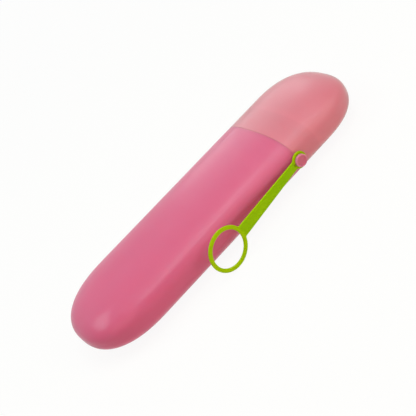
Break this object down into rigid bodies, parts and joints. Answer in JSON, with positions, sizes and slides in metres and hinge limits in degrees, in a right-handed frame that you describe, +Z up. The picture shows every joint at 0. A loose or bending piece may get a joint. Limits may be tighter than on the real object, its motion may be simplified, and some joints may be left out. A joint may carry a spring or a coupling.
{
  "type": "toothbrush case",
  "caption": "Flat rounded plastic toothbrush case with a pull-off cap on an inner collar and a flexible strap with a finger ring that swivels on a side stud.",
  "frame": {"origin": "on the resting flat, under the middle of the case's length, on its centre plane", "axes": "+X along the case towards the cap, +Z up from the resting flat, stud and strap on the -Y side"},
  "size_m": [0.2048, 0.0748, 0.0267],
  "materials": {
    "body_plastic": "frosted translucent deep pink",
    "cap_plastic": "frosted translucent pale pink",
    "collar_plastic": "frosted translucent pale pink",
    "stud_plastic": "satin mauve pink",
    "strap_silicone": "satin lime green"
  },
  "bodies": {
    "case": {"body_shell": "body_plastic", "neck_collar": "collar_plastic", "strap_stud": "stud_plastic"},
    "cap": {"cap_shell": "cap_plastic"},
    "strap": {"carry_strap": "strap_silicone"}
  },
  "joints": [
    {"name": "cap_slide", "type": "slide", "parent": "case", "child": "cap", "axis": [1, 0, 0], "range_m": [0, 0.06]},
    {"name": "strap_swivel", "type": "hinge", "parent": "case", "child": "strap", "pos_m": [0.0447, -0.03353, 0.01328], "axis": [0, 1, 0], "continuous": true}
  ]
}
